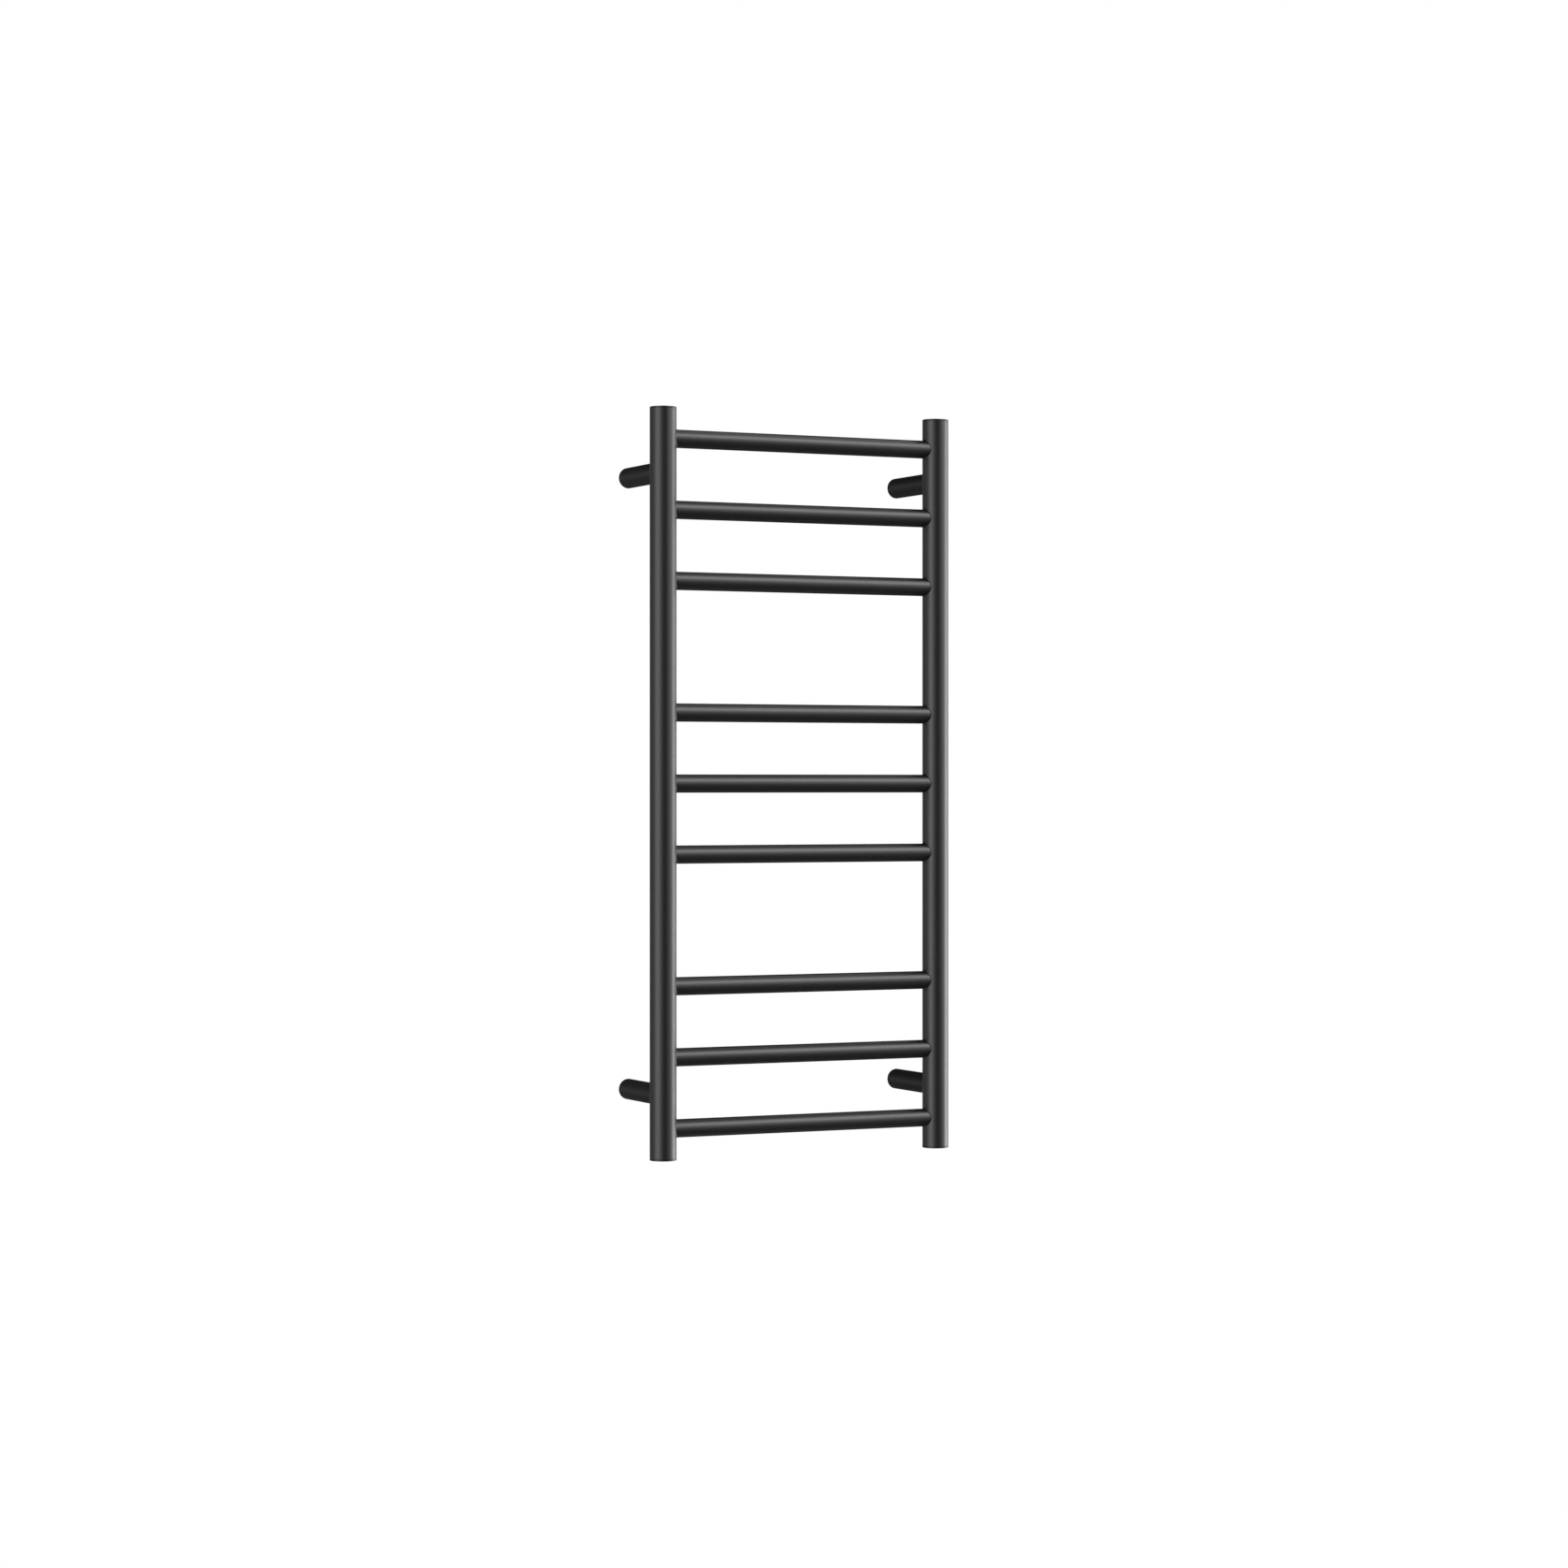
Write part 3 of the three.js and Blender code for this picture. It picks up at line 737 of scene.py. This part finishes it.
brown = insulation("brown_sheath", (0.085, 0.030, 0.013), (0.11, 0.042, 0.018))
blue = insulation("blue_sheath", (0.012, 0.065, 0.26), (0.018, 0.085, 0.32))
green = insulation("green_sheath", (0.03, 0.20, 0.035), (0.04, 0.25, 0.045))
yellow = insulation("yellow_sheath", (0.68, 0.52, 0.03), (0.76, 0.60, 0.05))

STRIPES = 4  # of green and of yellow together, round the earth lead
LEAD_PAIR = 1.1 * MM  # from the middle of the sleeve to each lead in it
SLEEVE_OVERLAP = 8 * MM
lead_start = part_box("live_lead")[1].y
block_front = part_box("terminal_block")[0].y
sleeve_low, sleeve_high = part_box("splice_sleeve")
sleeve_mouth = sleeve_high.y + 2 * LEAD_RADIUS
lead_end = sleeve_high.y - SLEEVE_OVERLAP


def lead(name, corners, bend, sheath, slot, node):
    """A lead through points of (x, y, height above the middle of the post)."""
    body = wire([(x, y, wired_z + rise) for x, y, rise in corners], LEAD_RADIUS, bend)
    return piece(name, body, sheath, slot, node)


live_corners = [
    (poles[0], lead_start, 0), (poles[0], block_front - 2 * LEAD_RADIUS, 0),
    (fuse_x, fuse_back + 2 * LEAD_RADIUS, 0), (fuse_x, fuse_back, 0),
]
lead("live_wire", live_corners, LEAD_RADIUS, brown, "live_insulation", "live_lead")
fuse_corners = [
    (fuse_x, fuse_front, 0), (fuse_x, fuse_front - 2 * LEAD_RADIUS, 0),
    (wired_x - LEAD_PAIR, sleeve_mouth, 0), (wired_x - LEAD_PAIR, lead_end, 0),
]
lead("fused_wire", fuse_corners, LEAD_RADIUS, brown, "live_insulation", "fuse_lead")
neutral_corners = [
    (poles[1], lead_start, 0), (poles[1], fuse_front - 2 * LEAD_RADIUS, 0),
    (wired_x + LEAD_PAIR, sleeve_mouth, 0), (wired_x + LEAD_PAIR, lead_end, 0),
]
lead("neutral_wire", neutral_corners, LEAD_RADIUS, blue, "neutral_insulation", "neutral_lead")
earth_rise = tab_bottom - LEAD_UNDER_TAB - LEAD_RADIUS - wired_z
earth_corners = [
    (poles[2], lead_start, 0), (poles[2], block_front - 4 * LEAD_RADIUS, 0),
    (wired_x, tab_back + 2 * LEAD_RADIUS, earth_rise), (wired_x, tab_middle.y, earth_rise),
]
earth = lead("earth_wire", earth_corners, 2 * LEAD_RADIUS, green, "earth_insulation", "earth_lead")
earth.data.materials.append(yellow)
for number, face in enumerate(earth.data.polygons):
    face.material_index = number % WIRE_FACETS * STRIPES // WIRE_FACETS % 2


# Splice sleeve: red heat-shrink over the joint between the leads and the heating cable. It is drawn in at
# both ends and bulges over the crimps inside.

SLEEVE_BORE = 2.3 * MM  # radius
SLEEVE_MOUTH = 2.9 * MM  # radius
# Shares of its length and of its fullness, from the mouth's size to the widest.
SLEEVE_SHAPE = [
    (0, 0), (0.08, 0.1), (0.2, 0.8), (0.3, 1), (0.5, 0.75), (0.7, 1), (0.8, 0.8), (0.92, 0.1), (1, 0),
]

shrink, place = finish("red_heat_shrink", Specular_IOR_Level=0.5)
place.grain(5 * MM).between((0.17, 0.020, 0.014), (0.22, 0.030, 0.020)).feed("Base Color")
(0.42 + 0.14 * place.grain(1.5 * MM)).feed("Roughness")
place.grain(1.2 * MM).bump(0.02 * MM).feed("Normal")

sleeve_radius = (sleeve_high.x - sleeve_low.x) / 2
sleeve_length = sleeve_high.y - sleeve_low.y
sleeve_outline = [(SLEEVE_BORE, sleeve_low.y)]
for share, fullness in SLEEVE_SHAPE:
    radius = SLEEVE_MOUTH + fullness * (sleeve_radius - SLEEVE_MOUTH)
    sleeve_outline.append((radius, sleeve_low.y + share * sleeve_length))
sleeve_outline.append((SLEEVE_BORE, sleeve_high.y))
body = moved(turned(sleeve_outline, SMALL_FACETS), ALONG_Y, (wired_x, 0, wired_z))
piece("shrink_sleeve", body, shrink, "seal_silicone", "splice_sleeve")


# Heating cable: 4 mm resistance cable in dark silicone. From the splice it goes into the right upright, then
# back and forth along the bottom of every rung, and ends in a red seal near the top of the left upright.

CABLE_RADIUS = 2 * MM
CABLE_FIT = 0.3 * MM
SEAL_FLOOR = 2 * MM
SEAL_LIP = 0.3 * MM  # chamfer at its edges

cable_sheath, place = finish("cable_silicone", Specular_IOR_Level=0.4)
place.grain(8 * MM).between((0.022, 0.022, 0.023), (0.034, 0.034, 0.034)).feed("Base Color")
(0.52 + 0.16 * place.grain(2 * MM)).feed("Roughness")
place.grain(0.6 * MM).bump(0.012 * MM).feed("Normal")

rung_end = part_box("rung_1")[1].x
cable_bend = upright_x - rung_end - CABLE_FIT
cable_drop = rung_radius - RUNG_WALL - CABLE_FIT - CABLE_RADIUS
cable_start = sleeve_low.y + SLEEVE_OVERLAP
cable_corners = [(upright_x, cable_start, wired_z), (upright_x, upright_y, wired_z)]
here = upright_x
for rung in rung_names:
    height = middle_height(rung) - cable_drop
    cable_corners += [(here, upright_y, height), (-here, upright_y, height)]
    here = -here
seal_low, seal_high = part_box("end_seal")
cable_corners.append((here, upright_y, seal_low.z + SEAL_FLOOR + CABLE_FIT))
body = wire(cable_corners, CABLE_RADIUS, cable_bend)
piece("warming_cable", body, cable_sheath, "cable_silicone", "heating_cable")

seal_radius = (seal_high.x - seal_low.x) / 2
seal_bore = CABLE_RADIUS + CABLE_FIT
body = shifted(turned([
    (0, seal_low.z), (seal_radius - SEAL_LIP, seal_low.z), (seal_radius, seal_low.z + SEAL_LIP),
    (seal_radius, seal_high.z - SEAL_LIP), (seal_radius - SEAL_LIP, seal_high.z), (seal_bore, seal_high.z),
    (seal_bore, seal_low.z + SEAL_FLOOR), (0, seal_low.z + SEAL_FLOOR),
], SMALL_FACETS), (here, upright_y, 0))
piece("cable_end_seal", body, shrink, "seal_silicone", "end_seal")


# Studio: a white floor and background, large soft lights from far away, and the camera. None of it belongs
# to the rail.

FLOOR_DROP = 1.25
FLOOR_SIZE = 12
FLOOR_DEPTH = 10 * MM
WHITE = (1, 1, 1, 1)
CAMERA_PLACE = (-1.9754, -4.1635, -0.0005)
CAMERA_TOWARD = (0.43346, 0.90117, 0)
CAMERA_LENS = 85.216
CAMERA_SENSOR = 36
# Each soft light: degrees round from +X, degrees up, strength and tightness.
SOFT_LIGHTS = [
    (-7.4, -6.3, 8.46, 14.2),
    (-47.9, 37.6, 8.17, 22.0),
    (-160.6, 1.1, 3.74, 8.1),
    (11.1, 53.8, 1.91, 23.4),
    (-54.7, 11.7, 1.67, 17.9),
    (111.7, -74.7, 1.39, 12.7),
    (138.1, -0.8, 0.64, 25.6),
    (89.7, -0.7, 0.40, 25.2),
]

floor = bpy.data.objects.new("floor", block(
    Vector((-FLOOR_SIZE / 2, -FLOOR_SIZE / 2, -FLOOR_DROP - FLOOR_DEPTH)),
    Vector((FLOOR_SIZE / 2, FLOOR_SIZE / 2, -FLOOR_DROP)),
))
bpy.context.scene.collection.objects.link(floor)
white_floor, _ = finish(
    "white_floor", Base_Color=(0, 0, 0, 1), Specular_IOR_Level=0, Emission_Color=WHITE, Emission_Strength=1,
)
floor.data.materials.append(white_floor)
floor.visible_diffuse = False
floor.visible_glossy = False
floor.visible_shadow = False
floor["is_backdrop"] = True

world = bpy.data.worlds.new("studio")
world.use_nodes = True
bpy.context.scene.world = world
tree = world.node_tree
direction = Socket(tree, tree.nodes.new("ShaderNodeTexCoord").outputs["Generated"])
glow = 0
for round_from_x, up, strength, tightness in SOFT_LIGHTS:
    flat = math.cos(math.radians(up))
    toward = (
        flat * math.cos(math.radians(round_from_x)), flat * math.sin(math.radians(round_from_x)),
        math.sin(math.radians(up)),
    )
    cosine = direction.node(
        "ShaderNodeVectorMath", {"operation": "DOT_PRODUCT"}, {0: direction, 1: toward}, output="Value",
    )
    glow = glow + strength * cosine.math("EXPONENT", tightness * (cosine - 1))
lights = glow.node("ShaderNodeBackground", {}, {"Color": WHITE, "Strength": glow})
backdrop = glow.node("ShaderNodeBackground", {}, {"Color": WHITE, "Strength": 1})
seen = glow.node("ShaderNodeLightPath", {}, {}, output="Is Camera Ray")
studio = seen.node("ShaderNodeMixShader", {}, {0: seen, 1: lights, 2: backdrop})
tree.links.new(studio.output, tree.nodes["World Output"].inputs["Surface"])

camera = bpy.data.objects.new("camera", bpy.data.cameras.new("camera"))
bpy.context.scene.collection.objects.link(camera)
camera.data.lens = CAMERA_LENS
camera.data.sensor_width = CAMERA_SENSOR
camera.location = CAMERA_PLACE
camera.rotation_euler = Vector(CAMERA_TOWARD).to_track_quat("-Z", "Y").to_euler()
bpy.context.scene.camera = camera
bpy.context.scene.view_settings.view_transform = "Standard"

low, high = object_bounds()
